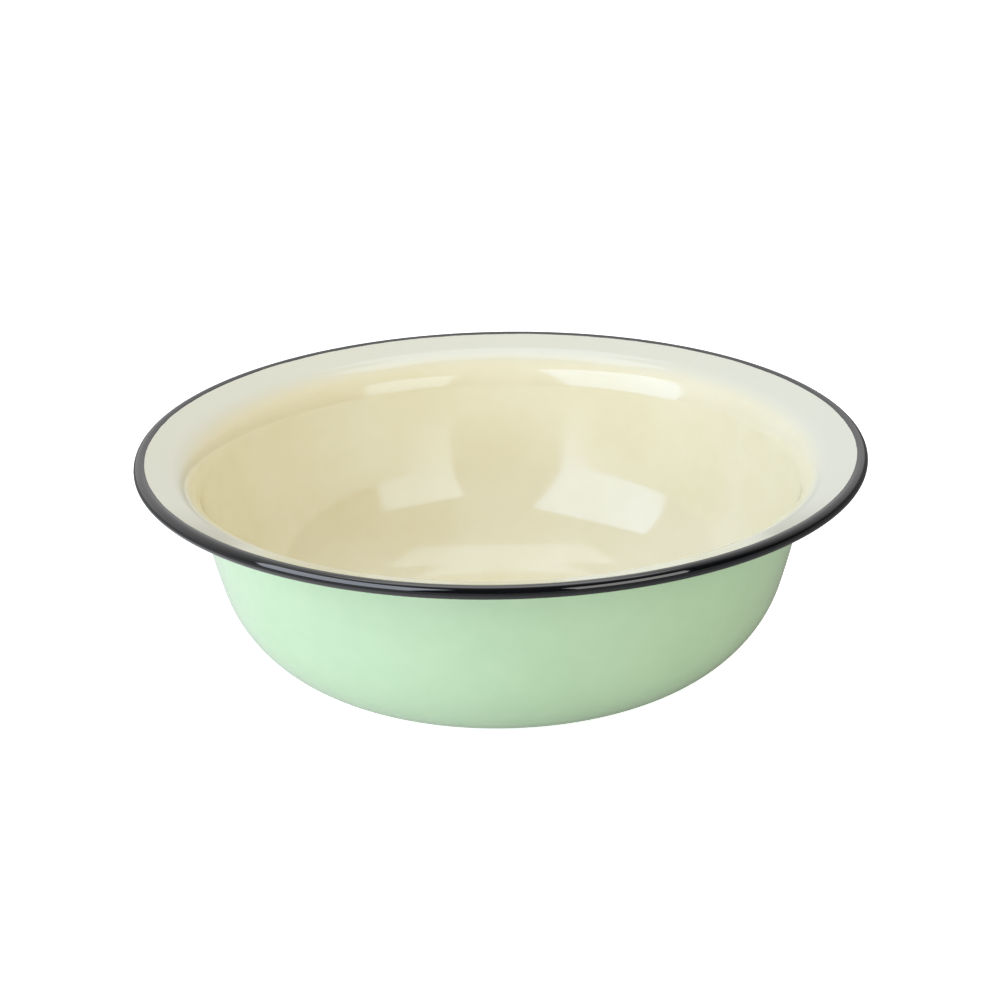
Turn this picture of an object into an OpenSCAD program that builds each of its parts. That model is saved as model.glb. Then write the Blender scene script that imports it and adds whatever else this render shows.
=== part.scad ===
// Enamel basin bowl: a round steel pressing with a wide flared flange, its edge rolled over a
// stiffening wire, ground-coated all over, enamelled cream inside, green outside and black on the rim.
// Millimetres. The origin is the centre of the underside, +Z points up out of the open mouth.
// The section is a chain of flats and arcs. Every layer is the same chain at another
// depth, and depth runs inwards from the green face: cover coat, ground coat, steel, ground, cover.

/* [Basin] */
// Diameter over the rolled rim
rim_d = 300; // [270:5:340]
// Overall height, from the floor to the top of the rolled rim
height = 92; // [84:1:110]
// Diameter of the standing ring's outer edge, where the round corner starts
base_d = 126; // [110:1:140]
// Outside radius of the round corner between the base and the wall
belly_r = 55; // [45:0.5:62]
// Radius of the wall's slight bow between the belly and the neck
wall_r = 340; // [300:20:2000]

/* [Flange] */
// Width of the straight part of the flange, along its slope
flange_w = 11.5; // [8:0.5:16]
// Slope of the flange, rising outwards, in degrees
flange_slope = 16; // [8:1:22]
// Outside radius of the corner between the wall and the flange
neck_r = 16; // [7:0.5:20]

/* [Rolled rim] */
// Diameter of the stiffening wire inside the roll
wire_d = 3.48; // [2.8:0.02:4.5]
// Clearance between the wire and the steel rolled round it
wire_play = 0.01; // [0.01:0.01:0.1]
// How far the steel is rolled round the wire, in degrees
curl_wrap = 285; // [276:1:292]
// How far the black enamel runs in from the roll over the top of the flange
black_reach = 1; // [0.5:0.1:3]

/* [Base] */
// Width of the flat standing ring
foot_w = 8; // [5:0.5:12]
// Height by which the middle of the base is pressed up
dish_rise = 1.5; // [0.8:0.1:3]
// Outside radius of the two bends of that step
dish_bend = 12; // [8:0.5:16]

/* [Sheet and coats] */
// Thickness of the steel sheet
sheet = 0.6; // [0.5:0.05:1]
// Thickness of the dark ground coat on either face of the steel
ground = 0.15; // [0.1:0.01:0.25]
// Thickness of the coloured cover coats
cover = 0.25; // [0.2:0.01:0.4]

/* [Hidden] */
$fn = 180;

// Angles between the points of the section's bends, of the wall's bow and of the roll
bend_step = 3;
bow_step = 0.75;
roll_step = 5;

// Depths of the layers' faces below the green outside face
steel_out = cover + ground;
steel_in = steel_out + sheet;
ground_in = steel_in + ground;
lining_in = ground_in + cover;

// Radii of the roll's faces about its centre
wire_r = wire_d / 2;
roll_in_r = wire_r + wire_play;
roll_out_r = roll_in_r + sheet;
roll_ground_r = roll_out_r + ground;
bead_r = roll_ground_r + cover;
base_r = base_d / 2;

// Unit vectors: along the flange towards the rim, and square to it, upwards
flange_along = [cos(flange_slope), sin(flange_slope)];
flange_up = [-sin(flange_slope), cos(flange_slope)];

// Centre of the roll, and the corner where the flange's straight part ends
roll_c = [rim_d / 2 - bead_r, height - bead_r];
flange_corner = from_roll([-flange_w, roll_in_r - steel_out]);

// The bends of the belly and the neck fit into the width between the standing ring and the flange.
// Where their radii are too large for it, both shrink alike until the wall stands about upright.
bend_room = flange_corner[0] - base_r;
bend_fit = min(1, bend_room / (belly_r + neck_r * (1 - sin(flange_slope))));
belly_bend_r = bend_fit * belly_r;
neck_bend_r = bend_fit * neck_r;

// The wall is the wide arc that runs on from the belly's arc and turns over into the neck's arc:
// the three centres are the corners of a triangle whose sides are sums of the radii.
// Leans are from the upright, at the foot and at the top of the wall.
belly_c = [base_r, belly_bend_r];
neck_c = flange_corner - neck_bend_r * flange_up;
span = neck_c - belly_c;
to_belly = wall_r - belly_bend_r;
to_neck = wall_r + neck_bend_r;
belly_corner = acos((norm(span) ^ 2 + to_belly ^ 2 - to_neck ^ 2) / (2 * norm(span) * to_belly));
foot_lean = 180 - atan2(span[1], span[0]) - belly_corner;
wall_c = belly_c - to_belly * [cos(foot_lean), -sin(foot_lean)];
top_lean = atan2(wall_c[1] - neck_c[1], neck_c[0] - wall_c[0]);

// The step in the base: two equal bends, each turning by dish_turn
dish_turn = acos(1 - dish_rise / (2 * dish_bend));
foot_in_r = base_r - foot_w;
dish_flat_r = foot_in_r - 2 * dish_bend * sin(dish_turn);
dish_c = [dish_flat_r, dish_rise - dish_bend];
foot_c = [foot_in_r, dish_bend];

// Where the roll's cut edge lies, where the seam's filling starts, and where the coats under it end,
// as angles about the roll's centre from the flange's own direction
roll_end = 90 - curl_wrap;
seam_fill_share = 0.8;
seam_start = -180 - acos(seam_fill_share);
coat_ends = [
    for (depth = [0, cover, steel_out])
        -180 - asin((roll_in_r - steel_out + depth) / bead_r)
];

// A point given about the roll's centre, along the flange and square to it
function from_roll(p) = roll_c + p[0] * flange_along + p[1] * flange_up;

// Corners that two pieces share on the flange: where the cream meets the black on the ground coat,
// and under the steel, where the seam's filling starts and where the outside ground coat ends
black_edge = from_roll([-black_reach, roll_ground_r]);
seam_corner = from_roll([-seam_fill_share * roll_in_r, roll_in_r]);
coat_corner = on_roll(bead_r, coat_ends[2]);

// A point at a radius and an angle about the roll's centre
function on_roll(r, angle) = from_roll(r * [cos(angle), sin(angle)]);

// Points of a bend of the section, from one angle to another; skip leaves out that many at the start
function bend(centre, r, from, to, skip = 0, step = bend_step) =
    let (steps = ceil(abs(to - from) / step))
    [
        for (i = [skip:steps])
            let (angle = from + (to - from) * i / steps)
            centre + r * [cos(angle), sin(angle)]
    ];

// Points round the roll, from one angle to another
function round_roll(r, from, to) =
    let (steps = ceil(abs(to - from) / roll_step))
    [for (i = [0:steps]) on_roll(r, from + (to - from) * i / steps)];

// One face of the section from the axis to the neck: base, step, standing ring, belly, wall, neck
function face(depth) = concat(
    [[0, dish_rise + depth]],
    bend(dish_c, dish_bend + depth, 90, 90 - dish_turn),
    bend(foot_c, dish_bend - depth, -90 - dish_turn, -90, 1),
    bend(belly_c, belly_bend_r - depth, -90, -foot_lean),
    bend(wall_c, wall_r - depth, -foot_lean, -top_lean, 1, bow_step),
    bend(neck_c, neck_bend_r + depth, 180 - top_lean, 90 + flange_slope, 1)
);

// The same points in the opposite order
function reversed(points) = [for (i = [len(points) - 1:-1:0]) points[i]];

// A layer that lies on the outside of the steel; its two end points meet the black under the roll
module outside_layer(deeper, shallower, ends) {
    rotate_extrude()
        polygon(concat(
            face(deeper),
            ends,
            reversed(face(shallower))
        ));
}

// A layer that goes over the flange and on round the roll to its cut edge; the corners are those
// of its neighbours that lie on its own upper and lower faces
module rolled_layer(deeper, shallower, outer_r, inner_r, upper_corners = [], lower_corners = []) {
    rotate_extrude()
        polygon(concat(
            face(deeper),
            upper_corners,
            round_roll(outer_r, 90, roll_end),
            round_roll(inner_r, roll_end, 90),
            lower_corners,
            reversed(face(shallower))
        ));
}

// The drawn pressing: base, belly, wall, neck, flange and the edge rolled round the wire
module steel_shell() {
    color("slategray")
        rolled_layer(steel_in, steel_out, roll_out_r, roll_in_r,
            lower_corners = [seam_corner, coat_corner]);
}

// The wire ring that stiffens the rim, closed in by the roll
module rim_wire() {
    color("lightsteelblue")
        rotate_extrude()
            translate(roll_c)
                circle(wire_r);
}

// Dark bonding enamel on the inside face, over the flange and round the roll
module inner_ground_coat() {
    color("#23262b")
        rolled_layer(ground_in, steel_in, roll_ground_r, roll_out_r,
            upper_corners = [black_edge]);
}

// Dark bonding enamel on the outside face, up to the seam under the roll
module outer_ground_coat() {
    color("#2d3036")
        outside_layer(steel_out, cover, [coat_corner, on_roll(bead_r, coat_ends[1])]);
}

// Cream cover coat on the whole inside and the top of the flange
module cream_lining() {
    color("#e4dfc3")
        rotate_extrude()
            polygon(concat(
                face(lining_in),
                [from_roll([-black_reach, bead_r]), black_edge],
                reversed(face(ground_in))
            ));
}

// Green cover coat on the whole outside and the underside
module green_outer_enamel() {
    color("#bcdcb8")
        outside_layer(cover, 0, [on_roll(bead_r, coat_ends[1]), on_roll(bead_r, coat_ends[0])]);
}

// Black cover coat on the roll, with a narrow band on the flange and the seam below filled
module black_rim_enamel() {
    color("#1c1d1f")
        rotate_extrude()
            polygon(concat(
                [from_roll([-black_reach, bead_r])],
                round_roll(bead_r, 90, coat_ends[0]),
                [on_roll(bead_r, coat_ends[1]), coat_corner, seam_corner],
                round_roll(roll_in_r, seam_start, roll_end),
                [on_roll(roll_out_r, roll_end)],
                round_roll(roll_ground_r, roll_end, 90),
                [black_edge]
            ));
}

steel_shell();
rim_wire();
inner_ground_coat();
outer_ground_coat();
cream_lining();
green_outer_enamel();
black_rim_enamel();
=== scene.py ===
"""The looks of the enamel basin bowl: three cover coats turned from their sections, and every finish.

The steel, the wire and the ground coats are the CAD's own pieces. The cream, green and black coats
are drawn here from the same sizes, finely enough for glossy enamel. Metres; the origin is the
centre of the underside, +Z points up out of the open mouth.
"""

import math

import bpy
from mathutils import Matrix, Quaternion, Vector


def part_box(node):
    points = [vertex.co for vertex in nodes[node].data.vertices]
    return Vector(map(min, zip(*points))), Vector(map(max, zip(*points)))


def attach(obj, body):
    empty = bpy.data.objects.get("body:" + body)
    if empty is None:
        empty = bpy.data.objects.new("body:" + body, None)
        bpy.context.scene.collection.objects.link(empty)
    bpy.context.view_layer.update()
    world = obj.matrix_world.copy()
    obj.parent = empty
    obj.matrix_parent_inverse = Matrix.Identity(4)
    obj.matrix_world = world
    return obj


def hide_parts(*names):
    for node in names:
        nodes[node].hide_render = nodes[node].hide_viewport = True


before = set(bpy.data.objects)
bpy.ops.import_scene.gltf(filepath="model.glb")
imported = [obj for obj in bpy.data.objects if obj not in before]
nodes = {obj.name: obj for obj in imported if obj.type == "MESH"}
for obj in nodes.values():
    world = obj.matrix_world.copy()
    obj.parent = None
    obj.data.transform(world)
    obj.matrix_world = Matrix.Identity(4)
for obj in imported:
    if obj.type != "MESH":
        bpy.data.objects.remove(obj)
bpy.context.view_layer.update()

MM = 0.001

# The pressing, as in the part's source
RIM_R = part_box("black_rim_enamel")[1].x
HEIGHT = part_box("black_rim_enamel")[1].z
BASE_R = 63 * MM
BELLY_R = 55 * MM
WALL_R = 340 * MM
FLANGE_W = 11.5 * MM
FLANGE_SLOPE = 16
NECK_R = 16 * MM
FOOT_W = 8 * MM
DISH_RISE = 1.5 * MM
DISH_BEND = 12 * MM
WIRE_R = 1.74 * MM
WIRE_PLAY = 0.01 * MM
CURL_WRAP = 285
BLACK_REACH = 1 * MM
SHEET = 0.6 * MM
GROUND = 0.15 * MM
COVER = 0.25 * MM
SEAM_FILL_SHARE = 0.8

# How finely the coats are turned, the steps of their bends in degrees, and the parts of their flats
TURN_STEPS = 360
FINE_STEP = 2
COARSE_STEP = 4
BOW_STEP = 0.25
FINE_PARTS = 2
COARSE_PARTS = 1

# Points nearer than this are one point; edges sharper than this many degrees stay crisp
MERGE = 0.002 * MM
CRISP_EDGE = 30

# The black coat was dipped over the cream: its edge stands a little proud and is rounded
LIP_H = 0.05 * MM
LIP_W = 0.35 * MM

# The camera, from the rim's ellipse in the photograph; pixels in its 1000 x 1000 frame
CAMERA_PITCH = 21.31
CAMERA_ROLL = 1.05
FOCAL_PX = 3659
FRAME_PX = 1000
RIM_CENTRE_PX = Vector((500.5, 453.4))
CAMERA_DISTANCE = 10 * RIM_R
CAMERA_NEAR = 0.05
CAMERA_FAR = 60
SENSOR_MM = 36

# The floor. Its glow falls off from left to right, and away from the bowl where gloss mirrors it.
# Light is given as radiance against the white of the picture.
FLOOR_R = 9
FLOOR_BRIGHT = 0.98
FLOOR_BRIGHT_X = -0.34
FLOOR_DIM = 0.16
FLOOR_DIM_X = 0.1
FLOOR_SEEN = 0.8
FLOOR_NEAR_R = 0.19
FLOOR_NEAR_DULLED = 0
FLOOR_FAR_R = 0.33
FLOOR_FAR_DULLED = 0.85
FLOOR_MIRRORED = (0.12, 0.12, 0.12, 1)
FLOOR_LIGHT = (1.06, 0.98, 1.2, 1)

# The room: a level and how it grows along X, Y and Z, as matt surfaces get it and as gloss mirrors
# it. In the mirrored one, a share of it is left at the horizon, which is higher on the right.
ROOM_LEVEL = 0.575
ROOM_SLOPE = (-0.1, 0.05, 0.15)
MIRROR_LEVEL = 0.12
MIRROR_SLOPE = (-0.14, 0.62, 0.14)
MIRROR_LEAST = 0.02
HORIZON_SLOPE = (-0.3, 0, 1)
HORIZON_TOP = 0.17
HORIZON_SHARE = 0.3

# The room's tint on matt surfaces: cool from the left, warm from the right, full this far to either side
COOL_LIGHT = (0.84, 0.98, 1.24, 1)
WARM_LIGHT = (1.13, 1.03, 0.8, 1)
TINT_SPREAD = 0.8
WHITE = (1, 1, 1, 1)

# The softboxes hang this far from a point inside the bowl
LAMP_DISTANCE = 2.0
LAMP_AIM_Z = 0.6 * HEIGHT


def polar(radius, angle):
    """A step in the section plane, from a length and an angle in degrees."""
    return Vector((radius * math.cos(math.radians(angle)), radius * math.sin(math.radians(angle))))


# Depths of the layers' faces below the green outside face
steel_out = COVER + GROUND
steel_in = steel_out + SHEET
ground_in = steel_in + GROUND
lining_in = ground_in + COVER

# Radii of the roll's faces about its centre
roll_in_r = WIRE_R + WIRE_PLAY
roll_out_r = roll_in_r + SHEET
roll_ground_r = roll_out_r + GROUND
bead_r = roll_ground_r + COVER

# The section's centres, in (radius, height)
flange_along = polar(1, FLANGE_SLOPE)
flange_up = polar(1, FLANGE_SLOPE + 90)
roll_c = Vector((RIM_R - bead_r, HEIGHT - bead_r))
neck_c = roll_c - FLANGE_W * flange_along + (roll_in_r - steel_out - NECK_R) * flange_up
belly_c = Vector((BASE_R, BELLY_R))
span = neck_c - belly_c
to_belly = WALL_R - BELLY_R
to_neck = WALL_R + NECK_R
belly_corner = math.acos(
    (span.length**2 + to_belly**2 - to_neck**2) / (2 * span.length * to_belly)
)
foot_lean = 180 - math.degrees(math.atan2(span.y, span.x) + belly_corner)
wall_c = belly_c - polar(to_belly, -foot_lean)
top_lean = math.degrees(math.atan2(wall_c.y - neck_c.y, neck_c.x - wall_c.x))
dish_turn = math.degrees(math.acos(1 - DISH_RISE / (2 * DISH_BEND)))
foot_in_r = BASE_R - FOOT_W
dish_flat_r = foot_in_r - 2 * DISH_BEND * math.sin(math.radians(dish_turn))
dish_c = Vector((dish_flat_r, DISH_RISE - DISH_BEND))
foot_c = Vector((foot_in_r, DISH_BEND))

# The roll's cut edge, the seam's filling and the coats' ends under the roll, as angles about the
# roll's centre from the flange's own direction
roll_end = 90 - CURL_WRAP
seam_start = -180 - math.degrees(math.acos(SEAM_FILL_SHARE))
green_end, green_back_end, coat_end = [
    -180 - math.degrees(math.asin((roll_in_r - steel_out + depth) / bead_r))
    for depth in (0, COVER, steel_out)
]


def from_roll(along, up):
    """A point given about the roll's centre, along the flange and square to it."""
    return roll_c + along * flange_along + up * flange_up


def on_roll(radius, angle):
    """A point at a radius and an angle about the roll's centre."""
    return roll_c + polar(radius, angle + FLANGE_SLOPE)


class CoatSection:
    """One coat, drawn stroke by stroke as a section and then turned round the bowl's axis."""

    def __init__(self, name):
        bpy.ops.object.select_all(action="DESELECT")
        bpy.ops.mesh.primitive_plane_add(size=MM)
        self.piece = bpy.context.object
        self.piece.name = self.piece.data.name = name
        bpy.ops.object.mode_set(mode="EDIT")
        bpy.ops.mesh.delete(type="VERT")

    def start(self, point):
        """Sets the pen down at a point."""
        bpy.ops.mesh.select_all(action="DESELECT")
        bpy.ops.mesh.primitive_plane_add(size=MM)
        bpy.ops.mesh.merge(type="CENTER")
        bpy.ops.transform.translate(value=(point.x, 0, point.y))
        self.at = point.copy()

    def run(self, point, parts=1):
        """Draws a straight to a point, in equal parts."""
        stride = (point - self.at) / parts
        move = {"value": (stride.x, 0, stride.y)}
        for _ in range(parts):
            bpy.ops.mesh.extrude_vertices_move(TRANSFORM_OT_translate=move)
        self.at = point.copy()

    def bend(self, centre, turn, step):
        """Draws an arc about a centre; a positive turn goes from the radius towards the height."""
        steps = math.ceil(abs(turn) / step - 1e-6)
        bpy.ops.mesh.spin(
            steps=steps, angle=math.radians(turn), center=(centre.x, 0, centre.y), axis=(0, 1, 0)
        )
        arm = self.at - centre
        self.at = centre + polar(arm.length, math.degrees(math.atan2(arm.y, arm.x)) + turn)

    def turn_round(self):
        """Turns the section about the axis, closes seam and poles, and points the faces outwards."""
        bpy.ops.mesh.select_all(action="SELECT")
        bpy.ops.mesh.remove_doubles(threshold=MERGE)
        bpy.ops.object.mode_set(mode="OBJECT")
        lathe = self.piece.modifiers.new("lathe", "SCREW")
        lathe.steps = lathe.render_steps = TURN_STEPS
        bpy.ops.object.modifier_apply(modifier=lathe.name)
        bpy.ops.object.mode_set(mode="EDIT")
        bpy.ops.mesh.select_all(action="SELECT")
        bpy.ops.mesh.remove_doubles(threshold=MERGE)
        bpy.ops.mesh.select_all(action="SELECT")
        bpy.ops.mesh.normals_make_consistent(inside=False)
        bpy.ops.object.mode_set(mode="OBJECT")
        bpy.ops.object.shade_smooth_by_angle(angle=math.radians(CRISP_EDGE))
        return self.piece


def draw_face(section, depth, step):
    """One face of the pressing from axis to neck: base, step, standing ring, belly, wall, neck."""
    parts = FINE_PARTS if step == FINE_STEP else COARSE_PARTS
    section.start(Vector((0, DISH_RISE + depth)))
    section.run(Vector((dish_flat_r, DISH_RISE + depth)), 6 * parts)
    section.bend(dish_c, -dish_turn, step)
    section.bend(foot_c, dish_turn, step)
    section.run(Vector((BASE_R, depth)), 2 * parts)
    section.bend(belly_c, 90 - foot_lean, step)
    section.bend(wall_c, foot_lean - top_lean, BOW_STEP)
    section.bend(neck_c, -(90 - top_lean - FLANGE_SLOPE), step)


def make_cream_coat():
    """The cream cover coat on the whole inside and the top of the flange."""
    section = CoatSection("cream_coat")
    draw_face(section, lining_in, FINE_STEP)
    section.run(from_roll(-BLACK_REACH, bead_r), 6)
    draw_face(section, ground_in, COARSE_STEP)
    section.run(from_roll(-BLACK_REACH, roll_ground_r), 2)
    section.run(from_roll(-BLACK_REACH, bead_r))
    return section.turn_round()


def make_green_coat():
    """The green cover coat on the whole outside and the underside."""
    section = CoatSection("green_coat")
    draw_face(section, 0, FINE_STEP)
    section.run(on_roll(bead_r, green_end), 6)
    draw_face(section, COVER, COARSE_STEP)
    section.run(on_roll(bead_r, green_back_end), 2)
    section.run(on_roll(bead_r, green_end))
    return section.turn_round()


def make_black_coat():
    """The black cover coat on the roll, with its lip on the flange and the filled seam below."""
    section = CoatSection("black_rim_coat")
    lip_foot = from_roll(-BLACK_REACH, bead_r)
    section.start(lip_foot)
    section.run(from_roll(-BLACK_REACH + 0.25 * LIP_W, bead_r + 0.75 * LIP_H))
    section.run(from_roll(-BLACK_REACH + 0.6 * LIP_W, bead_r + LIP_H))
    section.run(from_roll(-BLACK_REACH + LIP_W, bead_r + LIP_H))
    section.run(from_roll(0, bead_r), 3)
    section.bend(roll_c, green_end - 90, COARSE_STEP)
    section.run(on_roll(bead_r, green_back_end))
    section.run(on_roll(bead_r, coat_end))
    section.run(from_roll(-SEAM_FILL_SHARE * roll_in_r, roll_in_r))
    section.run(on_roll(roll_in_r, seam_start))
    section.bend(roll_c, roll_end - seam_start, 2 * COARSE_STEP)
    section.run(on_roll(roll_out_r, roll_end))
    section.run(on_roll(roll_ground_r, roll_end))
    section.bend(roll_c, 90 - roll_end, COARSE_STEP)
    section.run(from_roll(-BLACK_REACH, roll_ground_r))
    section.run(lip_foot)
    return section.turn_round()


class Signal:
    """A shader socket that stands in an expression; a number beside it is set on the Math node."""

    def __init__(self, finish, socket):
        self.finish = finish
        self.socket = socket

    def _with(self, operation, *operands):
        return self.finish.node("ShaderNodeMath", {"operation": operation}, dict(enumerate(operands)))

    def __add__(self, other):
        return self._with("ADD", self, other)

    __radd__ = __add__

    def __sub__(self, other):
        return self._with("SUBTRACT", self, other)

    def __rsub__(self, other):
        return self._with("SUBTRACT", other, self)

    def __mul__(self, other):
        return self._with("MULTIPLY", self, other)

    __rmul__ = __mul__

    def __pow__(self, other):
        return self._with("POWER", self, other)

    def __rpow__(self, other):
        return self._with("POWER", other, self)

    def __lt__(self, other):
        return self._with("LESS_THAN", self, other)

    def __gt__(self, other):
        return self._with("GREATER_THAN", self, other)


class Finish:
    """One procedural material, with its shader ready and its nodes added one by one."""

    def __init__(self, name, **constants):
        self.material = bpy.data.materials.new(name)
        self.material.use_nodes = True
        self.tree = self.material.node_tree
        self.shader = self.tree.nodes["Principled BSDF"]
        for socket, value in constants.items():
            self.shader.inputs[socket.replace("_", " ")].default_value = value
        self.place = self.node("ShaderNodeTexCoord", {}, {}, "Object")

    @classmethod
    def on_world(cls, world):
        """The same for a world: its background is the shader, and the place is a direction."""
        finish = cls.__new__(cls)
        finish.tree = world.node_tree
        finish.shader = finish.tree.nodes["Background"]
        finish.shader.inputs["Strength"].default_value = 1
        finish.place = finish.node("ShaderNodeTexCoord", {}, {}, "Generated")
        return finish

    def node(self, kind, settings, sockets, output=None):
        """Adds a node: its settings first, then its sockets' values and links. Gives one output."""
        node = self.tree.nodes.new(kind)
        for name, value in settings.items():
            setattr(node, name, value)
        for name, value in sockets.items():
            if isinstance(name, int):
                socket = node.inputs[name]
            else:
                socket = next(s for s in node.inputs if s.name == name and s.enabled)
            if isinstance(value, Signal):
                self.tree.links.new(value.socket, socket)
            else:
                socket.default_value = value
        shown = [s for s in node.outputs if s.enabled and output in (None, s.name)]
        return Signal(self, shown[0])

    def noise(self, size, detail=2.0, roughness=0.5):
        """Soft noise from 0 to 1 whose blotches are about that size, in metres."""
        return self.node(
            "ShaderNodeTexNoise",
            {"noise_dimensions": "3D"},
            {"Vector": self.place, "Scale": 1 / size, "Detail": detail, "Roughness": roughness},
            "Fac",
        )

    def ease(self, value, low, high, to_low=0.0, to_high=1.0):
        """Smoothly carries value's range low to high over to another range, and holds its ends."""
        return self.node(
            "ShaderNodeMapRange",
            {"interpolation_type": "SMOOTHSTEP"},
            {"Value": value, "From Min": low, "From Max": high, "To Min": to_low, "To Max": to_high},
        )

    def mottle(self, noise, low=0.0, high=1.0):
        """Noise with its middle stretched over a range."""
        return self.ease(noise, 0.3, 0.7, low, high)

    def blend(self, share, first, second):
        """A colour that goes from the first to the second as share goes from 0 to 1."""
        return self.node(
            "ShaderNodeMix", {"data_type": "RGBA"}, {"Factor": share, "A": first, "B": second}
        )

    def specks(self, spacing, size, share):
        """1 inside small round specks that lie in a share of the cells of that spacing."""
        cells = {"Vector": self.place, "Scale": 1 / spacing}
        near = self.node("ShaderNodeTexVoronoi", {}, cells, "Distance")
        tint = self.node("ShaderNodeTexVoronoi", {}, cells, "Color")
        chance = self.node("ShaderNodeSeparateColor", {}, {"Color": tint}, "Red")
        return self.ease(near, 0.7 * size / spacing, size / spacing, 1, 0) * (chance < share)

    def bump(self, *layers):
        """Feeds the normal from layers of (height signal, height of its full swing in metres)."""
        normal = None
        for height, swing in layers:
            sockets = {"Height": height, "Distance": swing, "Strength": 1.0}
            if normal is not None:
                sockets["Normal"] = normal
            normal = self.node("ShaderNodeBump", {}, sockets)
        self.feed("Normal", normal)

    def feed(self, socket, value):
        """Links a signal to one of the shader's sockets."""
        self.tree.links.new(value.socket, self.shader.inputs[socket])

    def toward(self, slope):
        """How far the place lies along a direction."""
        operands = {0: self.place, 1: slope}
        return self.node("ShaderNodeVectorMath", {"operation": "DOT_PRODUCT"}, operands)

    def scale(self, colour, level):
        """A colour times a level."""
        operands = {"Vector": colour, "Scale": level}
        return self.node("ShaderNodeVectorMath", {"operation": "SCALE"}, operands)

    def ray(self, kind):
        """1 where the light path is of that kind."""
        return self.node("ShaderNodeLightPath", {}, {}, kind)

    def radius_and_height(self):
        """Distance from the bowl's axis, and height above the floor."""
        split = [
            self.node("ShaderNodeSeparateXYZ", {}, {"Vector": self.place}, axis)
            for axis in "XYZ"
        ]
        return (split[0] * split[0] + split[1] * split[1]) ** 0.5, split[2]


def srgb(*channels):
    """A colour in linear light, from its red, green and blue as they look, 0 to 255."""
    shares = [channel / 255 for channel in channels]
    linear = [share / 12.92 if share <= 0.04 else ((share + 0.055) / 1.055) ** 2.4 for share in shares]
    return (*linear, 1)


BLACK_GLAZE = srgb(11, 12, 14)
GROUND_GLAZE = srgb(30, 32, 40)
COOL_GLOSS = (0.56, 0.74, 1, 1)

# Firing specks in the light coats: their spacing, size, and the share of the places that have one
SPECKS = (9 * MM, 0.16 * MM, 0.05)

# Painted sheen: the cream is made whiter over the neck and the flange, standing in for the white
# surroundings mirrored there and the less yellow bounced light, and where it starts and ends on the
# height
NECK_PAINTED_SHEEN = srgb(222, 220, 201)
NECK_SHEEN_SHARE = 0.85
NECK_SHEEN_START_SHARE = 0.9
NECK_SHEEN_END_SHARE = 0.965


def glaze(finish, colour, deep, waviness=1.0, dullness=1.0):
    """What the three cover coats share: cloudy colour, fine orange peel, slow waves, uneven gloss."""
    cloud = finish.noise(34 * MM, 3)
    fine_cloud = finish.noise(7 * MM, 2)
    tone = finish.blend(finish.mottle(0.7 * cloud + 0.3 * fine_cloud), colour, deep)
    gloss = finish.noise(16 * MM, 2)
    finish.feed("Roughness", finish.mottle(gloss, 0.075 * dullness, 0.115 * dullness))
    finish.bump(
        (finish.noise(46 * MM, 1), 0.11 * MM * waviness),
        (finish.noise(13 * MM, 1), 0.012 * MM * waviness),
        (finish.noise(2.2 * MM, 1), 0.0009 * MM),
    )
    return tone


def make_cream_glaze():
    finish = Finish("cream_glaze", IOR=1.52, Specular_IOR_Level=1.0, Specular_Tint=COOL_GLOSS)
    radius, height = finish.radius_and_height()
    tone = glaze(finish, srgb(240, 232, 201), srgb(237, 228, 193))
    # painted sheen: whiter over the bend of the neck and from there out to the black, standing in for
    # mirrored white surroundings and less yellow bounced light
    neck = finish.ease(height, NECK_SHEEN_START_SHARE * HEIGHT, NECK_SHEEN_END_SHARE * HEIGHT)
    tone = finish.blend(neck * NECK_SHEEN_SHARE, tone, NECK_PAINTED_SHEEN)
    tone = finish.blend(finish.specks(*SPECKS) * 0.55, tone, GROUND_GLAZE)
    # the black's edge feathers a little over the cream
    edge = from_roll(-BLACK_REACH, bead_r).x
    wander = finish.noise(5 * MM, 2) * (0.3 * MM) + finish.noise(19 * MM, 1) * (0.45 * MM)
    black = finish.ease(radius + wander, edge + 0.22 * MM, edge + 0.32 * MM)
    finish.feed("Base Color", finish.blend(black, tone, BLACK_GLAZE))
    return finish.material


def make_green_glaze():
    finish = Finish("green_glaze", IOR=1.52, Specular_IOR_Level=0.9, Specular_Tint=COOL_GLOSS)
    tone = glaze(finish, srgb(181, 207, 167), srgb(176, 203, 162))
    tone = finish.blend(finish.specks(*SPECKS) * 0.5, tone, GROUND_GLAZE)
    finish.feed("Base Color", tone)
    return finish.material


def make_black_glaze():
    finish = Finish("black_glaze", IOR=1.62, Specular_IOR_Level=1.0)
    tone = glaze(finish, BLACK_GLAZE, srgb(9, 10, 12), waviness=0.6, dullness=0.5)
    finish.feed("Base Color", tone)
    return finish.material


def make_ground_glaze(name, colour, deep):
    """The dark bonding enamel: glassy, with fine lighter grains of frit."""
    finish = Finish(name, IOR=1.52)
    grain = finish.specks(1.4 * MM, 0.35 * MM, 0.5)
    tone = finish.blend(finish.mottle(finish.noise(12 * MM, 3)), colour, deep)
    finish.feed("Base Color", finish.blend(grain * 0.3, tone, srgb(70, 76, 92)))
    finish.feed("Roughness", finish.mottle(finish.noise(8 * MM, 2), 0.16, 0.26))
    finish.bump((finish.noise(3 * MM, 2), 0.004 * MM))
    return finish.material


def make_pickled_steel():
    """Drawn sheet after pickling: matt grey, cloudy and finely grained."""
    finish = Finish("pickled_steel", Metallic=1.0)
    grain = finish.noise(1.2 * MM, 3, 0.6)
    cloud = finish.noise(20 * MM, 3)
    finish.feed("Base Color", finish.blend(cloud, srgb(150, 152, 155), srgb(122, 124, 128)))
    finish.feed("Roughness", finish.mottle(grain * 0.6 + cloud * 0.4, 0.34, 0.5))
    finish.bump((grain, 0.003 * MM))
    return finish.material


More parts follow.
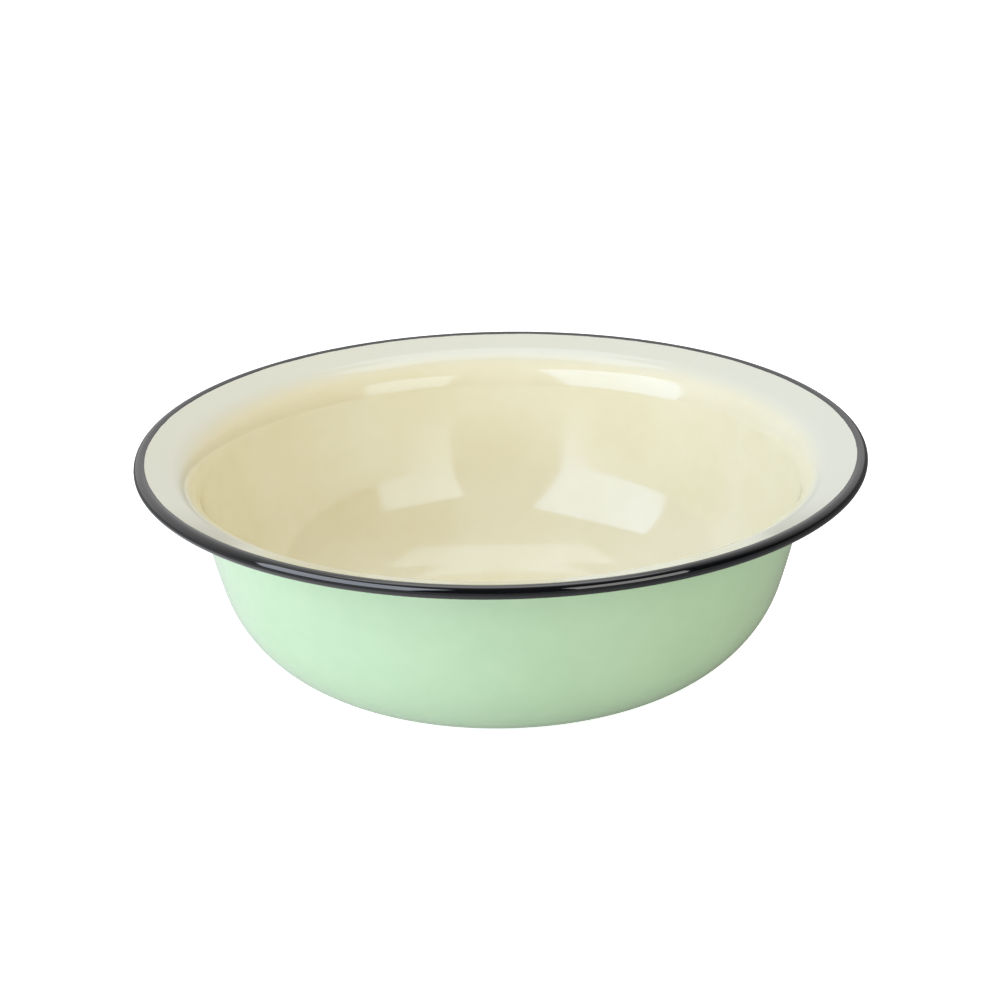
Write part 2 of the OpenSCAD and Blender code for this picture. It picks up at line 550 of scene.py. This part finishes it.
def make_drawn_wire():
    """Bright drawn wire with a fine grain."""
    finish = Finish("drawn_wire", Metallic=1.0)
    grain = finish.noise(0.4 * MM, 2)
    finish.feed("Base Color", finish.blend(grain, srgb(168, 170, 174), srgb(140, 142, 146)))
    finish.feed("Roughness", finish.mottle(grain, 0.24, 0.38))
    finish.bump((grain, 0.002 * MM))
    return finish.material


def wear(piece, material):
    """Puts one material on all of a piece, CAD nodes included."""
    if not piece.material_slots:
        piece.data.materials.append(material)
    for slot in piece.material_slots:
        slot.material = material


def direction(azimuth, elevation):
    """A direction from angles in degrees; azimuth runs from the camera's side (-Y) towards +X."""
    turn = math.radians(azimuth)
    rise = math.radians(elevation)
    return Vector((math.sin(turn) * math.cos(rise), -math.cos(turn) * math.cos(rise), math.sin(rise)))


def hang_softbox(name, azimuth, elevation, spread, rise, radiance, roll=0, tint=(1, 1, 1)):
    """A softbox that faces the bowl; spread and rise are its width and height as angles from there."""
    width = 2 * LAMP_DISTANCE * math.tan(math.radians(spread / 2))
    tall = 2 * LAMP_DISTANCE * math.tan(math.radians(rise / 2))
    lamp = bpy.data.lights.new(name, "AREA")
    lamp.shape = "RECTANGLE"
    lamp.size, lamp.size_y = width, tall
    lamp.energy = radiance * math.pi * width * tall
    lamp.color = tint
    holder = bpy.data.objects.new(name, lamp)
    bpy.context.scene.collection.objects.link(holder)
    toward = direction(azimuth, elevation)
    holder.location = Vector((0, 0, LAMP_AIM_Z)) + LAMP_DISTANCE * toward
    turn = toward.to_track_quat("Z", "Y") @ Quaternion((0, 0, 1), math.radians(roll))
    holder.rotation_euler = turn.to_euler()
    holder.visible_camera = False


def set_camera():
    """Stands the camera where the photograph's was: the rim's centre falls on its pixel."""
    pitch = math.radians(CAMERA_PITCH)
    up = Vector((0, math.cos(pitch), math.sin(pitch)))
    right = Vector((1, 0, 0))
    roll = Matrix.Rotation(math.radians(CAMERA_ROLL), 3, "Z")
    to_world = Matrix([roll @ right, roll @ up.cross(right), roll @ up])
    aim = RIM_CENTRE_PX - Vector((FRAME_PX / 2, FRAME_PX / 2))
    sight = Vector((aim.x / FOCAL_PX, -aim.y / FOCAL_PX, -1)).normalized()
    data = bpy.data.cameras.new("camera")
    data.sensor_width = SENSOR_MM
    data.lens = FOCAL_PX * SENSOR_MM / FRAME_PX
    data.clip_start, data.clip_end = CAMERA_NEAR, CAMERA_FAR
    camera = bpy.data.objects.new("camera", data)
    bpy.context.scene.collection.objects.link(camera)
    rim_centre = Vector((0, 0, roll_c.y))
    place = rim_centre - to_world @ (CAMERA_DISTANCE * sight)
    camera.matrix_world = Matrix.Translation(place) @ to_world.to_4x4()
    bpy.context.scene.camera = camera


def lay_floor():
    """A white tabletop, wide enough to fill every view, that glows as a light for the bowl: brighter on
    the left, dimmer to gloss away from the bowl, and white when seen.
    """
    bpy.ops.object.select_all(action="DESELECT")
    bpy.ops.mesh.primitive_circle_add(vertices=96, radius=FLOOR_R, fill_type="NGON")
    floor = bpy.context.object
    floor.name = "floor"
    finish = Finish("floor_white", Roughness=0.9, Specular_IOR_Level=0.1, Emission_Strength=1.0)
    cloud = finish.blend(finish.noise(0.4, 2), (0.9, 0.9, 0.9, 1), (0.88, 0.88, 0.88, 1))
    seen = finish.ray("Is Camera Ray")
    glossy = finish.ray("Is Glossy Ray")
    finish.feed("Base Color", finish.blend(glossy, cloud, FLOOR_MIRRORED))
    side = finish.toward((1, 0, 0))
    glow = finish.ease(side, FLOOR_BRIGHT_X, FLOOR_DIM_X, FLOOR_BRIGHT, FLOOR_DIM)
    radius, _ = finish.radius_and_height()
    dulling = finish.ease(radius, FLOOR_NEAR_R, FLOOR_FAR_R, FLOOR_NEAR_DULLED, FLOOR_FAR_DULLED)
    dulled = glow * (1 - glossy * dulling)
    tint = finish.blend(seen + glossy, FLOOR_LIGHT, WHITE)
    finish.feed("Emission Color", finish.scale(tint, dulled + seen * (FLOOR_SEEN - dulled)))
    wear(floor, finish.material)


def light_room():
    """Plain surroundings: nearly even to matt surfaces, darker in front to gloss, white when seen."""
    world = bpy.data.worlds.new("studio")
    world.use_nodes = True
    bpy.context.scene.world = world
    room = Finish.on_world(world)
    soft = room.toward(ROOM_SLOPE) + ROOM_LEVEL
    mirrored = room.node(
        "ShaderNodeMath",
        {"operation": "MAXIMUM"},
        {0: room.toward(MIRROR_SLOPE) + MIRROR_LEVEL, 1: MIRROR_LEAST},
    )
    mirrored = mirrored * room.ease(room.toward(HORIZON_SLOPE), 0, HORIZON_TOP, HORIZON_SHARE, 1)
    glossy = room.ray("Is Glossy Ray")
    seen = room.ray("Is Camera Ray")
    level = soft + glossy * (mirrored - soft)
    side = room.ease(room.toward((1, 0, 0)), -TINT_SPREAD, TINT_SPREAD)
    tint = room.blend(seen + glossy, room.blend(side, COOL_LIGHT, WARM_LIGHT), WHITE)
    room.feed("Color", room.scale(tint, level + seen * (1 - level)))


cream_coat = make_cream_coat()
green_coat = make_green_coat()
black_rim_coat = make_black_coat()

for piece, node, slot, material in (
    (cream_coat, "cream_lining", "cream_enamel", make_cream_glaze()),
    (green_coat, "green_outer_enamel", "green_enamel", make_green_glaze()),
    (black_rim_coat, "black_rim_enamel", "black_enamel", make_black_glaze()),
):
    wear(piece, material)
    wear(nodes[node], material)
    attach(piece, "root")
    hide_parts(node)

wear(nodes["steel_shell"], make_pickled_steel())
wear(nodes["rim_wire"], make_drawn_wire())
inside_glaze = make_ground_glaze("inner_ground_glaze", GROUND_GLAZE, srgb(24, 27, 36))
outside_glaze = make_ground_glaze("outer_ground_glaze", srgb(34, 36, 44), srgb(27, 30, 39))
wear(nodes["inner_ground_coat"], inside_glaze)
wear(nodes["outer_ground_coat"], outside_glaze)

# Azimuth, elevation, spread and rise in degrees, then the radiance
hang_softbox("left_softbox", -52, 29.8, 49.5, 48.5, 2.1, roll=4.5, tint=(0.92, 0.99, 1.13))
hang_softbox("right_softbox", 38.3, 23.2, 33.6, 32, 1.68, roll=-3.3, tint=(1.01, 1.0, 0.97))
hang_softbox("overhead_softbox", 180, 78.5, 44, 21, 1.0)
hang_softbox("back_softbox", 180, 59.5, 20, 17, 0.8)

set_camera()
lay_floor()
light_room()
bpy.context.scene.view_settings.view_transform = "Standard"
